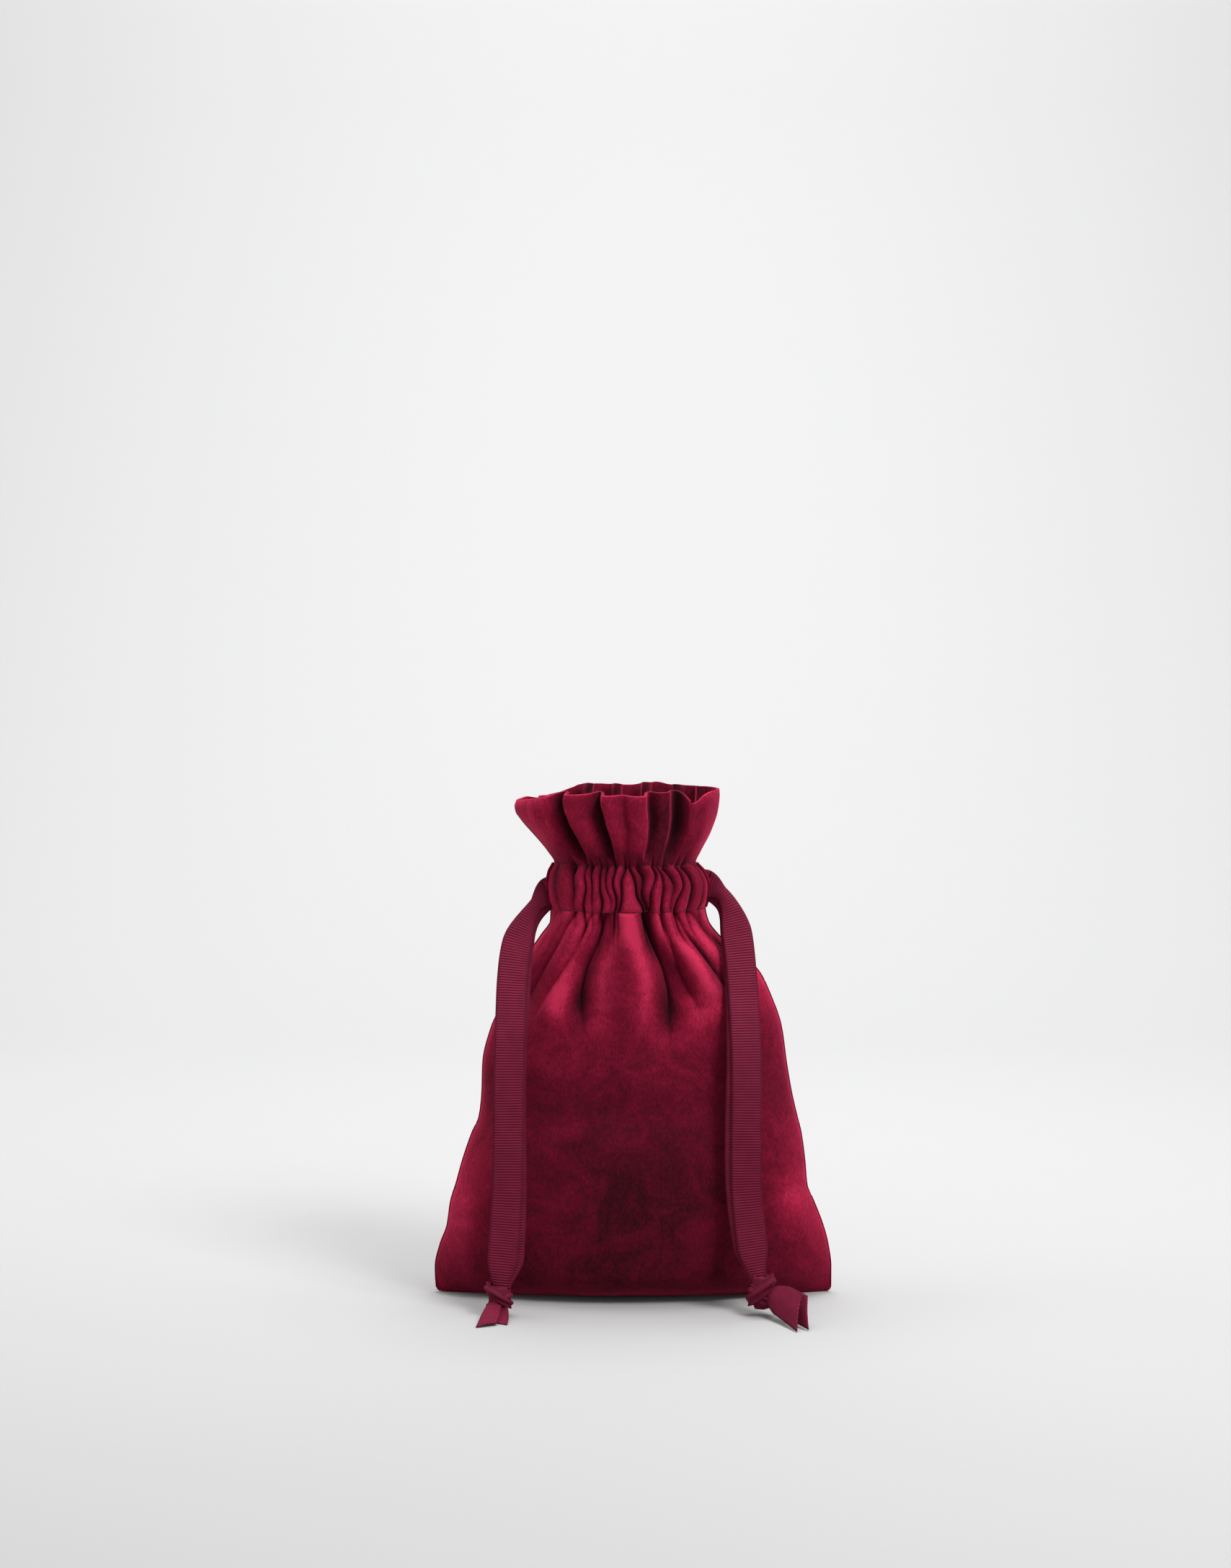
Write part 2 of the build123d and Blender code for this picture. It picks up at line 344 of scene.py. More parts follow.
def smooth_table(keys, values, at):
    """Monotone cubic interpolation, so that a table of rows gives a smooth outline."""
    keys, values, at = (np.asarray(a, float) for a in (keys, values, at))
    step = np.diff(keys)
    slope = np.diff(values) / step
    tangent = np.zeros(len(keys))
    tangent[0], tangent[-1] = slope[0], slope[-1]
    for i in range(1, len(keys) - 1):
        if slope[i - 1] * slope[i] > 0:
            first = 2 * step[i] + step[i - 1]
            second = step[i] + 2 * step[i - 1]
            tangent[i] = (first + second) / (first / slope[i - 1] + second / slope[i])
    i = np.clip(np.searchsorted(keys, at, side="right") - 1, 0, len(step) - 1)
    t = np.clip((at - keys[i]) / step[i], 0, 1)
    h = step[i]
    return ((2 * t**3 - 3 * t**2 + 1) * values[i] + (t**3 - 2 * t**2 + t) * h * tangent[i]
            + (3 * t**2 - 2 * t**3) * values[i + 1] + (t**3 - t**2) * h * tangent[i + 1])


def smoothstep(low, high, value):
    """A soft step from 0 at low to 1 at high; low may be the larger of the two."""
    t = np.clip((value - low) / (high - low), 0, 1)
    return t * t * (3 - 2 * t)


# ---------------------------------------------------------------------------------------
# The sack's outline
# ---------------------------------------------------------------------------------------
LOWER_ROW_Z = 196.5
UPPER_ROW_Z = 219.0
RIM_Z = 256.0
CASING_MIDDLE = (LOWER_ROW_Z + UPPER_ROW_Z) / 2
CASING_HALF = (UPPER_ROW_Z - LOWER_ROW_Z) / 2
FLOOR_GAP = 0.25

# Height, left and right silhouette.
SILHOUETTE = [
    (0, -97, 97.5), (2.5, -99.5, 100), (13, -100, 100), (24.5, -97.5, 98.5), (34, -94, 96),
    (47, -92, 91), (55, -89.5, 87.7), (67.5, -86, 86.5), (82, -81, 84.5), (90, -77.5, 82.5),
    (103, -76, 79.5), (117.5, -75.5, 77), (136, -71, 74.3), (154, -61.5, 68), (163, -57, 63.6),
    (173.5, -52, 53.5), (182, -46.2, 43), (190, -41.2, 37.2), (196.5, -41.0, 35.8),
    (201, -42.2, 36.9), (208, -42.8, 37.4), (214, -41.8, 35.2), (219, -39.6, 31.4),
    (224.5, -42.6, 33.6), (235, -49.6, 39), (245, -56.4, 42.3), (250, -59.0, 43), (253, -59.4, 43.2),
    (256, -58.4, 43),
]
# Height and the half depth in the middle, with the power that rounds or sharpens the section.
HALF_DEPTH = [
    (0, 7, 1.0), (1, 12, 0.98), (3, 18, 0.92), (7, 25.5, 0.82), (15, 31.0, 0.72), (41, 34.5, 0.62),
    (82, 33.5, 0.58), (117, 29.8, 0.55), (153, 26.5, 0.52), (182, 24, 0.5), (196.5, 22.8, 0.5),
    (207.5, 23.6, 0.5), (219, 21.6, 0.5), (235, 24.0, 0.5), (256, 27.5, 0.5),
]


def outline_at(z):
    """Centre x, half width, half depth and section power at some heights."""
    rows = np.array(SILHOUETTE, float)
    left = smooth_table(rows[:, 0], rows[:, 1], z)
    right = smooth_table(rows[:, 0], rows[:, 2], z)
    depths = np.array(HALF_DEPTH, float)
    depth = smooth_table(depths[:, 0], depths[:, 1], z)
    power = smooth_table(depths[:, 0], depths[:, 2], z)
    return (left + right) / 2, (right - left) / 2, depth, power


def base_grid(z_rows, side_y, columns):
    """The smooth cloth before its folds, its columns evenly spaced along each level section."""
    turn = np.linspace(0, math.pi, 721)
    dense = -np.cos(turn)
    material = np.linspace(0, 1, columns)
    grid = np.zeros((len(z_rows), columns, 3))
    across = np.zeros((len(z_rows), columns))
    centre, half, depth, power = outline_at(np.asarray(z_rows, float))
    for r, z in enumerate(z_rows):
        bow = depth[r] * np.clip(1 - dense**2, 0, 1) ** power[r]
        reach = np.concatenate([[0], np.cumsum(np.hypot(np.diff(half[r] * dense), np.diff(bow)))])
        across[r] = np.interp(material, reach / reach[-1], dense)
        grid[r, :, 0] = centre[r] + half[r] * across[r]
        grid[r, :, 1] = side_y * np.interp(material, reach / reach[-1], bow)
        grid[r, :, 2] = z
    return grid, across


def outward(points, side_y):
    """Unit normals of a grid of points, on the side that faces away from the sack."""
    normal = np.cross(np.gradient(points, axis=1), np.gradient(points, axis=0))
    length = np.linalg.norm(normal, axis=2, keepdims=True)
    normal = normal / np.maximum(length, 1e-9)
    if normal[points.shape[0] // 2, points.shape[1] // 2, 1] * side_y < 0:
        normal = -normal
    return normal


# ---------------------------------------------------------------------------------------
# Folds
# ---------------------------------------------------------------------------------------
# The ruffle's level section at the rim: places across (-1 to 1), and how far the cloth stands out.
RUFFLE_SECTION = {
    FRONT: [
        (-1.0, 0.0), (-0.9, 3.0), (-0.76, 4.2), (-0.66, 2.0), (-0.585, -5.6), (-0.54, -6.2), (-0.512, 1.0),
        (-0.485, 5.6), (-0.40, 5.2), (-0.30, 2.6), (-0.22, -1.6), (-0.175, -4.6), (-0.158, -1.0),
        (-0.14, 4.6), (-0.08, 5.0), (0.02, 3.4), (0.055, 2.9), (0.10, 4.6), (0.20, 6.2), (0.262, 5.2),
        (0.285, -0.6), (0.32, -2.8), (0.42, -0.4), (0.50, -1.2), (0.56, -5.0), (0.60, -6.0), (0.64, -3.6),
        (0.68, 2.4), (0.76, 2.6), (0.86, 3.8), (0.93, 3.0), (1.0, 0.0),
    ],
    BACK: [
        (-1.0, 0.0), (-0.9, 3.4), (-0.81, -2.0), (-0.77, 2.8), (-0.66, 4.2), (-0.585, -3.0), (-0.55, 3.8),
        (-0.42, 4.8), (-0.33, 1.5), (-0.285, -4.6), (-0.25, 2.0), (-0.16, 5.0), (-0.04, 1.5), (0.0, -2.8),
        (0.04, 2.6), (0.15, 4.8), (0.25, 0.8), (0.29, -3.6), (0.33, 3.6), (0.45, 5.0), (0.57, 1.0),
        (0.61, -4.6), (0.65, 2.8), (0.76, 4.4), (0.83, -2.2), (0.88, 2.6), (0.94, 2.4), (1.0, 0.0),
    ],
}
# Casing gathers: each valley's places across at the lower and the upper stitches, its depths there,
# and its width.
CASING_VALLEYS = {
    FRONT: [
        (-0.86, -0.93, 0.4, 0.6, 0.05), (-0.68, -0.70, 0.5, 1.0, 0.055), (-0.57, -0.53, 1.0, 0.5, 0.022),
        (-0.47, -0.45, 0.4, 1.0, 0.04), (-0.36, -0.33, 1.0, 0.8, 0.024), (-0.25, -0.25, 0.3, 0.9, 0.04),
        (-0.185, -0.13, 1.0, 0.9, 0.022), (-0.13, 0.0, 1.0, 1.0, 0.024), (0.19, 0.055, 1.0, 0.7, 0.022),
        (0.235, 0.17, 1.0, 1.0, 0.05), (0.27, 0.37, 0.8, 0.9, 0.02), (0.43, 0.43, 1.0, 0.5, 0.024),
        (0.55, 0.53, 0.5, 1.0, 0.05), (0.60, 0.70, 1.0, 0.6, 0.022), (0.76, 0.79, 0.9, 0.9, 0.04),
        (0.90, 0.96, 0.7, 0.4, 0.04),
    ],
    BACK: [
        (-0.90, -0.88, 0.6, 0.6, 0.04), (-0.76, -0.70, 0.9, 0.7, 0.024), (-0.62, -0.60, 0.5, 0.9, 0.045),
        (-0.50, -0.43, 1.0, 1.0, 0.024), (-0.38, -0.36, 0.3, 0.7, 0.036), (-0.30, -0.24, 0.9, 0.5, 0.024),
        (-0.18, -0.12, 1.0, 1.0, 0.045), (-0.05, -0.04, 0.8, 0.3, 0.024), (0.10, 0.05, 0.9, 1.0, 0.024),
        (0.22, 0.17, 0.4, 0.8, 0.045), (0.34, 0.30, 1.0, 0.8, 0.024), (0.47, 0.47, 0.7, 1.0, 0.036),
        (0.60, 0.56, 1.0, 0.4, 0.024), (0.75, 0.72, 0.8, 0.9, 0.04), (0.90, 0.88, 0.6, 0.6, 0.04),
    ],
}
# Creases that run from the stitches down the body: (height, x) places, depth and half width.
BODY_CREASES = {
    FRONT: [
        ([(196.5, -37), (182, -44), (167, -53)], 3.4, 2.0),
        ([(196.5, -28), (180, -38), (154, -53), (141, -60)], 6.2, 2.3),
        ([(196.5, -20.5), (176, -31), (154, -44), (144, -49)], 5.8, 2.3),
        ([(196.5, -13.5), (182, -18.5), (167, -24.5), (152, -27), (140, -25.5)], 8.4, 2.5),
        ([(196.5, -8.5), (186, -10.5), (174, -14)], 3.2, 1.9),
        ([(196.5, 4), (184, 8.5), (167, 15.5), (152, 18), (137, 18)], 8.4, 2.5),
        ([(196.5, 12.5), (184, 18), (166, 24.5), (149, 32)], 6.6, 2.2),
        ([(196.5, 20.5), (186, 26), (172, 37), (157, 47)], 7.0, 2.2),
        ([(196.5, 27.5), (187, 35), (176, 46), (163, 56)], 4.4, 2.1),
    ],
    BACK: [
        ([(196.5, -33), (180, -43), (161, -55)], 4.0, 2.3),
        ([(196.5, -22), (176, -33), (149, -43)], 5.2, 2.4),
        ([(196.5, -12), (169, -20), (137, -24)], 7.0, 2.5),
        ([(196.5, -3), (174, -4), (153, -7)], 4.2, 2.2),
        ([(196.5, 7), (170, 13), (131, 16)], 7.0, 2.5),
        ([(196.5, 16), (176, 26), (151, 36)], 5.4, 2.3),
        ([(196.5, 25), (180, 39), (159, 55)], 4.2, 2.3),
    ],
}
# Soft dents and swells of the lower body: x, height, half width, half height, how far out.
BODY_SWELLS = {
    FRONT: [
        (-83, 38, 9, 22, 2.6), (84, 45, 7, 16, 2.8), (88, 62, 6, 9, -2.6), (0, 98, 34, 9, -1.6),
        (-30, 60, 20, 28, 1.4), (34, 70, 16, 22, 1.5), (4, 30, 26, 14, -1.2), (-80, 92, 7, 14, -2.2),
    ],
    BACK: [
        (-70, 50, 14, 26, 2.2), (72, 60, 12, 24, 2.2), (0, 90, 30, 12, -1.8), (-28, 44, 20, 22, 1.4),
        (30, 40, 20, 18, 1.6), (84, 92, 7, 14, -2.0),
    ],
}
# Painted light as soft patches: painted shade in the lower centre, painted highlights at the two sides and,
# on the front, at the crease ends. Each: x, height, half width, half height, and how much lighter or darker
# it is painted.
PAINTED_LIGHT_PATCHES = {
    FRONT: [
        (4, 48, 42, 46, -0.16), (-86, 36, 9, 22, 0.13), (80, 52, 9, 12, 0.16),
        (-21, 141, 6, 6, 0.22), (19, 134, 6, 6, 0.22), (36, 147, 6, 6, 0.22),
    ],
    BACK: [(4, 48, 42, 46, -0.16), (-86, 36, 9, 22, 0.13), (80, 52, 9, 12, 0.16)],
}
PLEAT_HEIGHT = 23.0
# How far a crease reaches past its lower end, and over what height it comes to its full depth.
CREASE_TAIL = 12.0
CREASE_GROWTH = 30.0
# How far the casing's gathers run on into the ruffle above and the body below.
GATHER_REACH_UP = 8.0
GATHER_REACH_DOWN = 26.0
PINCH_DEPTH = 0.8
PINCH_REACH = 1.7


def soft_patches(x, z, rows):
    """The sum of soft round patches: x, height, half width, half height and size of each."""
    total = np.zeros_like(x)
    for centre_x, centre_z, wide, tall, size in rows:
        total += size * np.exp(-((x - centre_x) / wide) ** 2 - ((z - centre_z) / tall) ** 2)
    return total


def gathers_between(across, places, depths, widths):
    """Puffs between sharp valleys: near 1 on a puff and down to 0 in a deep valley."""
    height = np.ones_like(across)
    for place, depth, width in zip(places, depths, widths):
        height -= depth * np.exp(-np.abs(across - place) / width)
    return height


def ruffle_folds(z, across, side_y):
    """How far the ruffle's pleats stand out at one height."""
    section = np.array(RUFFLE_SECTION[side_y])
    up = float(smoothstep(UPPER_ROW_Z + 0.5, UPPER_ROW_Z + PLEAT_HEIGHT, z))
    lean = 0.05 * (1 - up) * np.sign(section[:, 0]) * (1 - np.abs(section[:, 0]))
    return (0.38 + 0.62 * up) * smooth_table(section[:, 0] - lean, section[:, 1], across)


def casing_folds(z, across, side_y):
    """How far the casing's gathers stand out at one height."""
    rows = np.array(CASING_VALLEYS[side_y])
    up = float(np.clip((z - LOWER_ROW_Z) / (2 * CASING_HALF), 0, 1))
    places = rows[:, 0] * (1 - up) + rows[:, 1] * up
    depths = rows[:, 2] * (1 - up) + rows[:, 3] * up
    bulge = math.sqrt(max(0.0, 1 - ((z - CASING_MIDDLE) / CASING_HALF) ** 2))
    wander = 0.034 * np.sin(z / 4.6 + 4.2 * across) + 0.012 * np.sin(z / 2.6 - 11 * across)
    height = gathers_between(across + bulge * wander * (1 - across**2), places, depths, rows[:, 4])
    return (3.3 + 1.0 * bulge) * (height - 0.45)


def crease(distance, width):
    """A sharp valley in a broad hollow, with a round shoulder each side."""
    sharp = np.exp(-np.abs(distance) / (0.7 * width))
    broad = np.exp(-(distance / (2.6 * width)) ** 2)
    shoulder = np.exp(-((np.abs(distance) - 4.4 * width) / (2.0 * width)) ** 2)
    return -0.58 * sharp - 0.5 * broad + 0.46 * shoulder


def body_folds(z, x, side_y):
    """The creases that fan out from the neck at one height, with painted shade in them and painted
    highlights on their shoulders.
    """
    total = np.zeros_like(x)
    shade = np.zeros_like(x)
    for places, depth, width in BODY_CREASES[side_y]:
        heights = [p[0] for p in places][::-1]
        across = [p[1] for p in places][::-1]
        if z < heights[0] - CREASE_TAIL:
            continue
        where = smooth_table(heights, across, np.array([z]))[0]
        fade = float(smoothstep(heights[0] - CREASE_TAIL, heights[0] - CREASE_TAIL + CREASE_GROWTH, z))
        widen = width * (1 + 0.8 * (LOWER_ROW_Z - z) / 60)
        away = np.abs(x - where)
        total += depth * fade * crease(x - where, widen)
        # Painted shade in the crease and a painted highlight on its shoulders.
        shade -= depth / 13 * fade * np.exp(-away / (1.1 * widen))
        shade += depth / 24 * fade * np.exp(-((away - 2.8 * widen) / (1.3 * widen)) ** 2)
    return total, shade


def cloth_waves(points, seed, scale, size):
    """Slow uneven waves, the same each run."""
    shift = Vector((seed * 17.3, seed * 5.1, seed * 9.7))
    flat = points.reshape(-1, 3)
    values = [noise.noise(Vector(p) / scale + shift) for p in flat]
    return size * np.array(values).reshape(points.shape[:2])


def pinch(z):
    """The two rows of stitches pull the cloth in."""
    lower = 0.5 * np.exp(-((z - LOWER_ROW_Z) / PINCH_REACH) ** 2)
    return PINCH_DEPTH * float(lower + np.exp(-((z - UPPER_ROW_Z) / PINCH_REACH) ** 2))


def fold_heights(z_rows, base, across, side_y):
    """Every fold of the cloth at each of its points along the cloth's normal, and the painted shade and
    painted highlights that go with it.
    """
    out = np.zeros(base.shape[:2])
    shade = np.zeros(base.shape[:2])
    for r, z in enumerate(z_rows):
        x = base[r, :, 0]
        if z >= UPPER_ROW_Z:
            near_row = float(smoothstep(UPPER_ROW_Z + GATHER_REACH_UP, UPPER_ROW_Z, z))
            pleats = ruffle_folds(z, across[r], side_y)
            out[r] = pleats * (1 - near_row) + casing_folds(UPPER_ROW_Z, across[r], side_y) * near_row
            # Painted shade in the ruffle's recessed pleats and painted light on the standing ones.
            shade[r] = np.clip(out[r] - 1.0, -6, 4) / (15 if side_y == FRONT else 34)
        elif z >= LOWER_ROW_Z:
            out[r] = casing_folds(z, across[r], side_y)
            # Painted shade in the casing's valleys and painted light on its puffs.
            shade[r] = (out[r] - 0.05) / 5.6
        else:
            near_row = float(smoothstep(LOWER_ROW_Z - GATHER_REACH_DOWN, LOWER_ROW_Z, z))
            gathers = casing_folds(LOWER_ROW_Z, across[r], side_y)
            creases, dark = body_folds(z, x, side_y)
            swells = soft_patches(x, z, BODY_SWELLS[side_y])
            out[r] = gathers * near_row + creases * (1 - 0.3 * near_row) + swells
            # Painted shade in the body's creases and between the gathers under the stitches, painted light
            # on the gathers' puffs.
            shade[r] = dark + (gathers - 0.1) / 6 * near_row
        out[r] -= pinch(z)
        # Painted shade along the stitched rows.
        shade[r] -= 0.02 * pinch(z)
    return out * (1 - np.abs(across) ** 12), shade


def painted_panel_light(grid, across, side_y):
    """Painted light over the whole panel: painted shade in the lower centre, near the bottom, at the
    casing's ends and inside the back ruffle, and painted highlights at the sides, on the upper body, at the
    crease ends, along the rim and on the ruffle's left lobe.
    """
    x, z = grid[:, :, 0], grid[:, :, 2]
    sideways = np.abs(across)
    painted_light = soft_patches(x, z, PAINTED_LIGHT_PATCHES[side_y]) - 0.03
    # Painted light on the upper body, which faces up, and painted shade near the bottom.
    painted_light += 0.15 * smoothstep(90, 165, z) * smoothstep(218, 190, z) - 0.10 * smoothstep(40, 0, z)
    # Painted shade at the two ends of the casing.
    painted_light -= 0.15 * smoothstep(0.55, 0.95, sideways) * smoothstep(190, 200, z) * smoothstep(224, 216, z)
    # Painted highlights at the two sides of the lower body.
    painted_light += 0.21 * smoothstep(0.62, 0.98, sideways) * smoothstep(120, 60, z)
    # Painted highlights on the flanks below the neck.
    painted_light += 0.06 * smoothstep(0.2, 0.5, sideways) * smoothstep(138, 160, z) * smoothstep(203, 192, z)
    # Painted highlight along the rim.
    painted_light += 0.10 * smoothstep(RIM_Z - 3.5, RIM_Z - 0.5, z)
    # Painted light on the ruffle's left lobe.
    painted_light += 0.15 * smoothstep(-30, -40, x) * smoothstep(UPPER_ROW_Z + 3, UPPER_ROW_Z + 14, z)
    # Painted shade on the inside of the back ruffle.
    if side_y == BACK:
        painted_light -= 0.10 * smoothstep(UPPER_ROW_Z, UPPER_ROW_Z + 6, z)
    return painted_light


def rim_dip(grid, side_y):
    """The rim's own line: lower over the left lobe, with a dip near the right end."""
    x = grid[:, :, 0]
    up = smoothstep(UPPER_ROW_Z, RIM_Z, grid[:, :, 2])
    if side_y == FRONT:
        drop = 5.5 * np.clip((-34 - x) / 24, 0, 1) + 5.0 * np.exp(-((x - 30) / 5.0) ** 2)
    else:
        drop = 5.5 * smoothstep(-24, -45, x) - 1.6 * np.exp(-((x - 12) / 6) ** 2)
        drop -= 0.6 * np.exp(-((x + 18) / 5) ** 2)
    grid[:, :, 2] -= drop * up
    return grid


# ---------------------------------------------------------------------------------------
# The cloth
# ---------------------------------------------------------------------------------------
COLUMNS = 321
UNDER_ROWS = 6
CASING_ROWS = 46
RUFFLE_ROWS = 63
BODY_Z = np.concatenate([
    [0.7, 1.5, 2.5, 3.7, 5.1, 6.7, 8.5, 10.5, 12.7],
    np.arange(14.0, 131.0, 1.3),
    np.linspace(131, LOWER_ROW_Z, 86),
])
NECK_Z = np.concatenate([
    np.linspace(LOWER_ROW_Z, UPPER_ROW_Z, CASING_ROWS + 1)[1:],
    np.linspace(UPPER_ROW_Z, RIM_Z, RUFFLE_ROWS + 1)[1:],
])
ALL_Z = np.concatenate([BODY_Z, NECK_Z])
NECK_ROW = UNDER_ROWS + len(BODY_Z) - 1
UPPER_STITCH_ROW = NECK_ROW + CASING_ROWS
CLOTH_THICK = 1.0
NECK_CLOTH_THICK = 1.3
OPENING_HALF = 2.6
# The cloth's slow waves and small puckers: each one's seed, length and size.
WAVES = [(3, 26, 0.8), (8, 8, 0.3)]


def opening_gap(z):
    """Half the gap between the panels at each side, where the casing is left open for the ribbon."""
    return OPENING_HALF * np.sqrt(np.clip(1 - ((z - CASING_MIDDLE) / CASING_HALF) ** 2, 0, 1))


def panel_grid(side_y):
    """One side of the sack, from its bottom seam up to its rim, and the painted light and shade on its
    points.
    """
    base, across = base_grid(ALL_Z, side_y, COLUMNS)
    folds, shade = fold_heights(ALL_Z, base, across, side_y)
    edge = 1 - np.abs(across) ** 10
    waves = sum(cloth_waves(base, seed + side_y, scale, size) for seed, scale, size in WAVES)
    direction = outward(base, side_y)
    direction[:, :, 0] *= 1 - 0.75 * smoothstep(0.55, 1.0, np.abs(across))
    side = base + direction * (folds + waves * edge)[:, :, None]
    near_upper = np.exp(-((base[:, :, 2] - UPPER_ROW_Z) / 3.5) ** 2)
    side[:, :, 2] += 0.95 * near_upper * edge * (folds - folds.mean(axis=1, keepdims=True))
    side[:, :, 1] = side_y * np.maximum(side_y * side[:, :, 1], 0.0)
    for column in (0, -1):
        side[:, column] = base[:, column]
        side[:, column, 1] = side_y * opening_gap(ALL_Z)
    side[:, :, 2] = np.maximum(side[:, :, 2], FLOOR_GAP)
    # Painted shade and highlights of the folds, and painted light over the whole panel.
    painted_light = shade + painted_panel_light(base, across, side_y)
    under = []
    for step in range(UNDER_ROWS):
        row = side[0].copy()
        row[:, 1] *= step / UNDER_ROWS
        row[:, 2] = FLOOR_GAP
        under.append(row)
    grid = rim_dip(np.concatenate([np.stack(under), side]), side_y)
    return grid, np.concatenate([np.repeat(painted_light[:1], UNDER_ROWS, axis=0), painted_light])


def cloth_piece(name, grid, painted_light, side_y, material, thickness):
    """A sheet of velvet from a grid of points, with its painted light and shade kept on its points."""
    rows, columns = grid.shape[:2]
    faces = grid_faces(rows, columns, flip=side_y == BACK)
    piece = mesh_object(name, grid.reshape(-1, 3), faces, material)
    layer = piece.data.attributes.new("painted_light", "FLOAT", "POINT")
    layer.data.foreach_set("value", painted_light.reshape(-1).astype(np.float32))
    thicken(piece, thickness, -1)
    return piece


def ring_word(side_y):
    return "front" if side_y == FRONT else "back"


def make_cloth(materials):
    """Both panels, each as a body piece and a separate neck piece."""
    panels = {}
    for side_y in (FRONT, BACK):
        side = ring_word(side_y)
        grid, painted_light = panel_grid(side_y)
        panels[side_y] = grid
        piece = cloth_piece(f"{side}_body_cloth", grid[: NECK_ROW + 1], painted_light[: NECK_ROW + 1], side_y,
                            materials["velvet"], CLOTH_THICK)
        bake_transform(piece)
        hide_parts(f"{side}_panel")

        piece = cloth_piece(f"{side}_neck_cloth", grid[NECK_ROW:], painted_light[NECK_ROW:], side_y,
                            materials["velvet"], NECK_CLOTH_THICK)
        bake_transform(piece)
        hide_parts(f"{side}_casing_outer", f"{side}_casing_inner", f"{side}_ruffle",
                    f"{side}_ruffle_facing", f"left_ribbon_{side}_run", f"right_ribbon_{side}_run")
    return panels


# ---------------------------------------------------------------------------------------
# Ribbons
# ---------------------------------------------------------------------------------------
RIBBON_WIDTH = 15.0
RIBBON_THICK = 0.5
ACROSS_STEPS = 12
EXIT_LENGTH = 10.0
LAYER_GAP = 1.3
# The share of its width that a strand loses at its knot and where it folds over at the opening.
KNOT_NARROWING = 0.5
TURN_NARROWING = 0.52
# How much less the back strand narrows at its fold, how far it sits inwards and how far it drops.
BACK_NARROWING_SHARE = 0.3
BACK_INSET = 2.0
BACK_DROP = 3.0

# The front strand's route each side, near the model's but starting inside the casing: control points
# of one smooth curve, which lies down the middle of the ribbon.
ROUTES = {
    LEFT: [
        (-33, -1.4, 207.0), (-40.5, -1.4, 205.5), (-46, -3.5, 201.3), (-52.8, -7, 193), (-58.3, -14, 180.5),
        (-60.6, -22, 163), (-61.3, -30, 143), (-61.8, -35.5, 120), (-61.5, -38.5, 83), (-62.2, -40, 46),
        (-65.5, -45, 12.5),
    ],
    RIGHT: [
        (27, -1.4, 208.5), (35.5, -1.4, 208.5), (41.5, -3.2, 206.3), (47.8, -7, 200), (52, -14, 185),
        (53.8, -22, 165), (54.8, -30, 143), (55.3, -35.5, 120), (55, -38.5, 83), (56, -40, 50),
        (61.5, -45, 18),
    ],
}
# Each tail's route, how slanted its cut is, and how much of the ribbon's width it opens to.
TAILS = {
    LEFT: {
        "front": ([(-66.5, -46, 9), (-68.5, -51, 6.5), (-70, -58, 3.0), (-71.5, -67, 1.2)], -0.65, 0.6),
        "back": ([(-65.5, -46, 8), (-65, -51, 4.5), (-65, -56, 1.8), (-65.5, -62, 0.8)], 0.5, 0.55),
    },
    RIGHT: {
        "front": ([(63, -46.5, 12), (69, -53, 11.2), (75, -62, 9.5), (79.5, -71.5, 7.9)], -0.75, 1.0),
        "back": ([(64, -46, 11.5), (71, -51.5, 10.6), (78, -60, 9), (84, -69.5, 7.9)], -0.75, 0.95),
    },
}
TAIL_FACING = {LEFT: (0, -0.35, 1), RIGHT: (-0.45, -0.8, 0.35)}
KNOT_CENTRES = {LEFT: (-66.0, -46.0, 9.2), RIGHT: (62.7, -46.5, 12.0)}
KNOT_HALF = {LEFT: (5.4, 4.4), RIGHT: (5.6, 4.6)}
KNOT_TILT = {LEFT: -34, RIGHT: 38}
KNOT_HEIGHT = {LEFT: 11.0, RIGHT: 16.0}
KNOT_STEPS = 56
CORE_ROWS = 12
CORE_SIDES = 24
# The two passes of ribbon round a knot: tilt as a share of the knot's, lift and width as shares of its
# height, where it begins, its crown, and how far it stands off the core.
KNOT_PASSES = [(1, 0.10, 0.50, 0.4, 1.0, 0.2), (-0.8, -0.12, 0.42, 2.6, 0.9, -0.5)]


def side_word(side):
    return "left" if side == LEFT else "right"


def smooth_route(points):
    """Points read from a NURBS curve through a route's control points."""
    curve = bpy.data.curves.new("route", "CURVE")
    curve.dimensions = "3D"
    curve.resolution_u = 24
    spline = curve.splines.new("NURBS")
    spline.points.add(len(points) - 1)
    for target, point in zip(spline.points, points):
        target.co = (*[c * MM for c in point], 1)
    spline.order_u = 3
    spline.use_endpoint_u = True
    obj = bpy.data.objects.new("route", curve)
    bpy.context.scene.collection.objects.link(obj)
    graph = bpy.context.evaluated_depsgraph_get()
    mesh = bpy.data.meshes.new_from_object(obj.evaluated_get(graph))
    line = np.array([v.co[:] for v in mesh.vertices]) / MM
    bpy.data.objects.remove(obj)
    return line


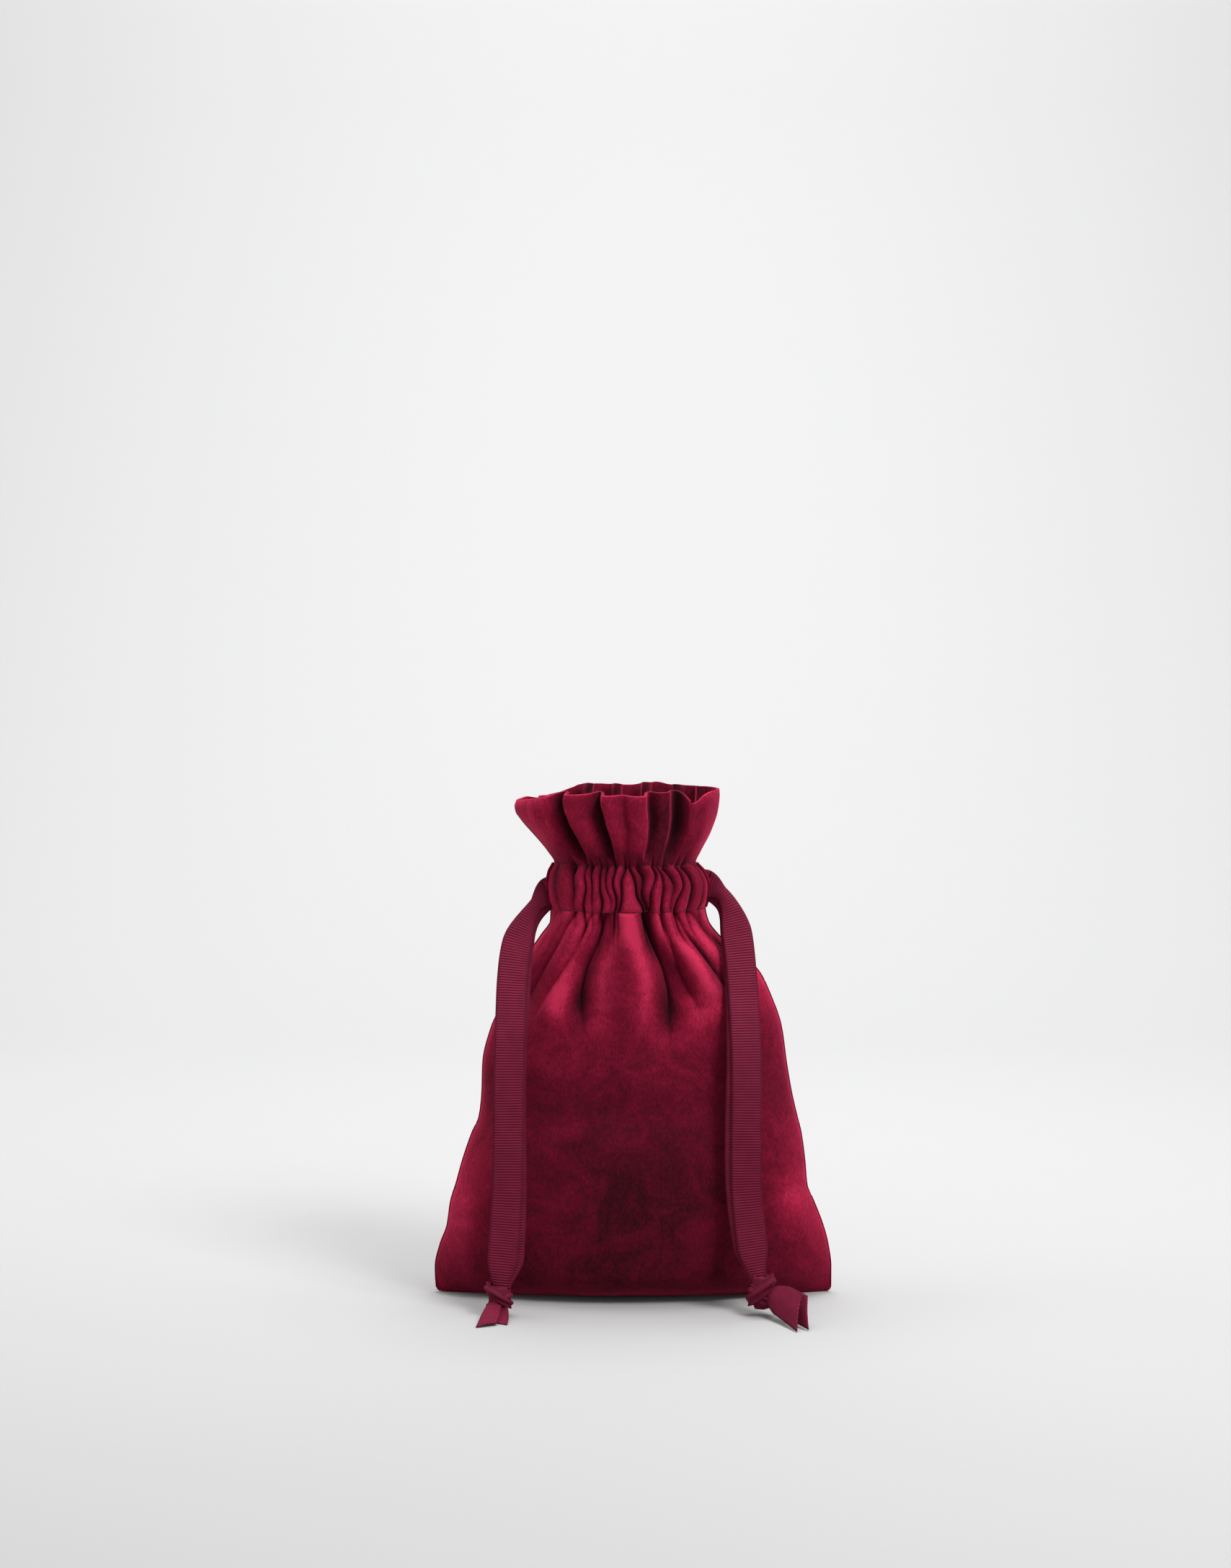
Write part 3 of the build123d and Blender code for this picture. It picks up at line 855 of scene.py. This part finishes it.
class Line:
    """A smooth line by length, with a frame for a ribbon that lies along it."""

    def __init__(self, points, facing=(0, -1, 0)):
        self.points = np.asarray(points, float)
        steps = np.linalg.norm(np.diff(self.points, axis=0), axis=1)
        self.points = self.points[np.concatenate([[True], steps > 1e-6])]
        steps = np.linalg.norm(np.diff(self.points, axis=0), axis=1)
        self.at = np.concatenate([[0], np.cumsum(steps)])
        self.length = self.at[-1]
        self.facing = np.array(facing, float)

    def place(self, t):
        inside = np.clip(t, 0, self.length)
        point = np.array([np.interp(inside, self.at, self.points[:, k]) for k in range(3)])
        return point + self.heading(t) * (t - inside)

    def heading(self, t):
        low = min(max(t - 2.5, 0), self.length - 5.0)
        a = np.array([np.interp(low, self.at, self.points[:, k]) for k in range(3)])
        b = np.array([np.interp(low + 5.0, self.at, self.points[:, k]) for k in range(3)])
        return (b - a) / np.linalg.norm(b - a)

    def frame(self, t):
        """The place, and the unit directions along, across and out of the ribbon's face."""
        along = self.heading(t)
        face = self.facing - along * np.dot(self.facing, along)
        face /= np.linalg.norm(face)
        return self.place(t), along, np.cross(face, along), face


def strip_object(name, rows, uvs, material):
    """A ribbon from rows of points across it, with its length and width as UVs."""
    grid = np.array(rows)
    obj = mesh_object(name, grid.reshape(-1, 3), grid_faces(*grid.shape[:2]), material,
                      uvs=[(u * MM, v * MM) for u, v in uvs])
    thicken(obj, RIBBON_THICK, 0)
    return obj


def strand_rows(side, line, layer, first, last, step):
    """Rows of one strand: out of the casing, over its edge, and down to its knot."""
    rows, uvs, middle = [], [], []
    count = max(2, int((last - first) / step) + 1)
    for along in np.linspace(first, last, count):
        place, _, right, face = line.frame(along)
        near_knot = float(smoothstep(line.length - 16, line.length + 1, along))
        hanging = float(smoothstep(28, 80, along))
        turning = float(smoothstep(9, 19, along)) * float(smoothstep(42, 19, along))
        folded = TURN_NARROWING * turning * (1 - BACK_NARROWING_SHARE * layer)
        half_width = RIBBON_WIDTH / 2 * (1 - KNOT_NARROWING * near_knot - folded)
        sway = math.sin(along / 31 + 1.7 * layer + side) * (0.9 if layer else 0.5) * hanging
        inward = BACK_INSET * layer * float(smoothstep(12, 70, along)) * (1 - near_knot) + sway
        drop = BACK_DROP * layer * turning
        row = []
        for c in range(ACROSS_STEPS + 1):
            v = 2 * c / ACROSS_STEPS - 1
            cup = -1.7 * near_knot * v * v * (1 if layer == 0 else -0.4)
            curl = 0.6 * math.sin(along / 23 + side) * v * hanging * (1 - near_knot)
            crown = 1.2 * (1 - v * v) * turning
            out = cup + curl + crown - layer * LAYER_GAP
            row.append(place + right * v * half_width + face * out + np.array([-side * inward, 0, -drop]))
            uvs.append((along, v * RIBBON_WIDTH / 2))
        rows.append(row)
        middle.append(row[ACROSS_STEPS // 2])
    return rows, uvs, middle


def tail_object(name, points, cut, share, facing, material):
    """A short end of ribbon that opens out of the knot and is cut on the slant."""
    line = Line(smooth_route(points), facing=facing)
    rows, uvs = [], []
    for along in np.linspace(0, line.length, 30):
        spread = 0.4 + (share - 0.4) * float(smoothstep(0, 14, along))
        slant = cut * float(smoothstep(line.length * 0.35, line.length, along))
        pleat = 1.5 * (1 - 0.6 * along / line.length)
        row = []
        for c in range(ACROSS_STEPS + 1):
            v = 2 * c / ACROSS_STEPS - 1
            across = RIBBON_WIDTH * spread * v / 2
            place, heading, right, face = line.frame(along)
            fold = pleat * (abs(v) ** 1.5 - 0.5) * (1 if cut > 0 else -1)
            point = place + right * across + heading * slant * across + face * fold
            point[2] = max(point[2], RIBBON_THICK / 2 + 0.05)
            row.append(point)
            uvs.append((along + slant * across, v * RIBBON_WIDTH / 2))
        rows.append(row)
    return strip_object(name, rows, uvs, material)


def knot_band(centre, half, tilt, lift, width, phase, swell):
    """One pass of folded ribbon round the knot, with its two ends tucked in."""
    rows, uvs = [], []
    radius = (half[0] + half[1]) / 2
    slope = math.tan(math.radians(tilt))
    for step in range(KNOT_STEPS + 1):
        share = step / KNOT_STEPS
        tuck = float(smoothstep(0, 0.14, share) * smoothstep(1, 0.86, share))
        turn = phase + 2 * math.pi * share
        x, y = half[0] * math.cos(turn), half[1] * math.sin(turn)
        out = np.array([math.cos(turn), math.sin(turn), 0])
        row = []
        for c in range(ACROSS_STEPS + 1):
            v = 2 * c / ACROSS_STEPS - 1
            pleats = 0.5 * math.cos(5.5 * v + 1.3 * math.sin(turn)) + 0.3 * math.sin(2.3 * turn)
            crown = swell * (1 - v * v) + pleats
            up = lift + slope * x + v * width / 2 * (0.45 + 0.55 * tuck)
            row.append(np.array(centre) + np.array([x, y, up]) + out * (crown - 1.6 * (1 - tuck)))
            uvs.append((radius * turn, RIBBON_WIDTH / 2))
        rows.append(row)
    return rows, uvs


def knot_core(centre, half, height):
    """The gathered ribbon in the middle of the knot, narrower at its top and bottom."""
    rows, uvs = [], []
    for step in range(CORE_ROWS + 1):
        v = step / CORE_ROWS
        size = 0.92 * (0.62 + 0.38 * math.sin(math.pi * v))
        row = []
        for c in range(CORE_SIDES + 1):
            turn = 2 * math.pi * c / CORE_SIDES
            pleat = 1 + 0.08 * math.cos(5 * turn + 2 * v)
            x = half[0] * size * pleat * math.cos(turn)
            y = half[1] * size * pleat * math.sin(turn)
            row.append(np.array(centre) + np.array([x, y, height * (v - 0.5)]))
            uvs.append((height * v, RIBBON_WIDTH / 2))
        rows.append(row)
    return rows, uvs


def make_knot(side, material):
    """An overhand knot: a core with two passes of ribbon that cross on its front."""
    centre, half, height = KNOT_CENTRES[side], KNOT_HALF[side], KNOT_HEIGHT[side]
    name = side_word(side)
    parts = [strip_object(f"{name}_knot_cloth", *knot_core(centre, half, height), material)]
    for number, (tilt, lift, width, phase, swell, grow) in enumerate(KNOT_PASSES):
        rows, uvs = knot_band(centre, (half[0] + grow, half[1] + grow), tilt * KNOT_TILT[side],
                              lift * height, width * height, phase, swell)
        parts.append(strip_object(f"{name}_knot_pass_{number + 1}", rows, uvs, material))
    return parts


def make_ribbons(materials):
    """Both strands of each side, with the knot and tails that belong to them."""
    material = materials["ribbon"]
    for side in (LEFT, RIGHT):
        name = side_word(side)
        line = Line(smooth_route(ROUTES[side]))
        for layer, word in enumerate(("front", "back")):
            rows, uvs, _ = strand_rows(side, line, layer, 0.0, EXIT_LENGTH, 0.8)
            piece = strip_object(f"{name}_{word}_ribbon_exit", rows, uvs, material)
            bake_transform(piece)
            if layer == 0:
                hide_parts(f"{name}_ribbon_exit")

            rows, uvs, middle = strand_rows(side, line, layer, EXIT_LENGTH, line.length + 1.0, 1.2)
            piece = strip_object(f"{name}_{word}_strand_ribbon", rows, uvs, material)
            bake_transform(piece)
            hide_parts(f"{name}_{word}_strand")
        extras = make_knot(side, material)
        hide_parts(f"{name}_knot")
        for word, (points, cut, share) in TAILS[side].items():
            tail = tail_object(f"{name}_{word}_tail_ribbon", points, cut, share, TAIL_FACING[side], material)
            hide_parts(f"{name}_{word}_tail")
            extras.append(tail)
        for piece in extras:
            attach(piece, f"{name}_strands")


# ---------------------------------------------------------------------------------------
# Seams and stitches
# ---------------------------------------------------------------------------------------
STITCH_LENGTH = 2.1
STITCH_PITCH = 3.0
STITCH_RADIUS = 0.2
SEAM_RADIUS = 0.55


def tube_mesh(lines, radius, sides=8):
    """Round threads along several short lines of points, as one list of points and faces."""
    points, faces = [], []
    for line in lines:
        line = np.asarray(line, float)
        first = len(points)
        for i, p in enumerate(line):
            along = line[min(i + 1, len(line) - 1)] - line[max(i - 1, 0)]
            along /= max(np.linalg.norm(along), 1e-9)
            side = np.cross(along, (0, 0, 1) if abs(along[2]) < 0.9 else (0, 1, 0))
            side /= np.linalg.norm(side)
            other = np.cross(along, side)
            end = 0.45 if len(line) < 8 and i in (0, len(line) - 1) else 1.0
            for k in range(sides):
                turn = 2 * math.pi * k / sides
                points.append(p + radius * end * (math.cos(turn) * side + math.sin(turn) * other))
        rows = len(line)
        for a, b, c, d in grid_faces(rows, sides, closed=True):
            faces.append((first + a, first + b, first + c, first + d))
        faces.append(tuple(first + k for k in range(sides))[::-1])
        faces.append(tuple(first + (rows - 1) * sides + k for k in range(sides)))
    return points, faces


def stitch_lines(row_points, lift):
    """Short straight stitches along a row of the cloth, lying on its surface."""
    row = np.asarray(row_points, float)
    steps = np.linalg.norm(np.diff(row, axis=0), axis=1)
    at = np.concatenate([[0], np.cumsum(steps)])
    lines = []
    begin = STITCH_PITCH / 2
    while begin + STITCH_LENGTH < at[-1]:
        stitch = []
        for step in range(4):
            where = begin + STITCH_LENGTH * step / 3
            point = np.array([np.interp(where, at, row[:, k]) for k in range(3)])
            stitch.append(point + np.array([0, lift * (1 if step in (1, 2) else 0.2), 0]))
        lines.append(stitch)
        begin += STITCH_PITCH
    return lines


def make_stitches(fine, materials):
    """The two stitched rows on the front and back of the casing."""
    rows = {"lower": NECK_ROW + 1, "upper": UPPER_STITCH_ROW}
    for side_y in (FRONT, BACK):
        side = ring_word(side_y)
        for word, row in rows.items():
            lines = stitch_lines(fine[side_y][row][6:-6], side_y * 0.1)
            points, faces = tube_mesh(lines, STITCH_RADIUS)
            piece = mesh_object(f"{side}_{word}_stitching", points, faces, materials["thread"])
            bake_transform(piece)
            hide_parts(f"{side}_{word}_stitches")


def make_seams(fine, materials):
    """The side seams, as a narrow turned ridge between the panels."""
    columns = {"left": 0, "right": -1}
    for name, column in columns.items():
        line = fine[FRONT][UNDER_ROWS : NECK_ROW + 1, column]
        points, faces = tube_mesh([line], SEAM_RADIUS)
        piece = mesh_object(f"{name}_seam_ridge", points, faces, materials["velvet"])
        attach(piece, "sack")
        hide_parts(f"{name}_side_seam")


# ---------------------------------------------------------------------------------------
# Build
# ---------------------------------------------------------------------------------------
# The CAD nodes at the two sides of the neck, which the cloth of the body stands for too.
SIDE_NODES = [
    "left_casing_side", "right_casing_side", "left_ruffle_side", "right_ruffle_side",
    "left_ruffle_facing", "right_ruffle_facing",
]


def finish_nodes(materials):
    """Every CAD node gets its fabric, so that none shows plain."""
    for node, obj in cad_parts.items():
        kind = "thread" if "seam" in node else "ribbon" if "ribbon" in node else "velvet"
        obj.data.materials.clear()
        obj.data.materials.append(materials[kind])


def main():
    """Makes the whole scene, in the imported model's frame."""
    make_camera()
    make_studio()
    materials = {
        "velvet": velvet("velvet"),
        "ribbon": grosgrain(),
        "thread": thread(),
    }
    fine = make_cloth(materials)
    make_stitches(fine, materials)
    make_seams(fine, materials)
    make_ribbons(materials)
    finish_nodes(materials)
    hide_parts(*SIDE_NODES)


main()
